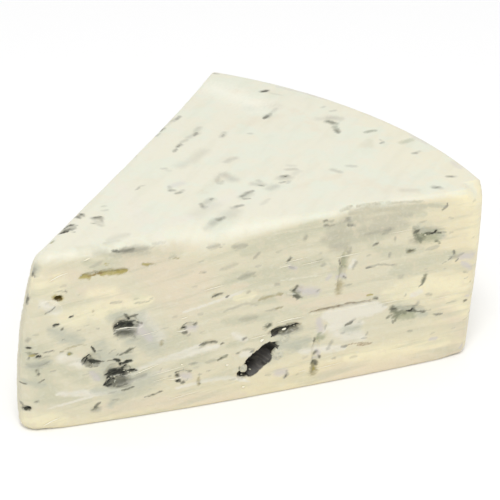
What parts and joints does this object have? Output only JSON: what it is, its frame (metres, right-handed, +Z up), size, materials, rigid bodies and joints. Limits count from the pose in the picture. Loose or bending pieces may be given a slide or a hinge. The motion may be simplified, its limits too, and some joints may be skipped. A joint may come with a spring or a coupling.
{
  "type": "blue cheese wedge",
  "caption": "Wedge of blue-veined cheese with hand-cut faces, a curved rind side, a slumped upper edge and mould pockets in the cuts; it stands on its flat foot.",
  "frame": {"origin": "on the flat foot, under the middle of the wedge's box", "axes": "+X from the point of the wedge to the rind, +Z up, the front cut faces -Y and the back cut faces +Y"},
  "size_m": [0.0938, 0.0798, 0.0371],
  "materials": {
    "paste": "satin"
  },
  "bodies": {
    "root": {"cheese_wedge": "paste"}
  },
  "joints": []
}
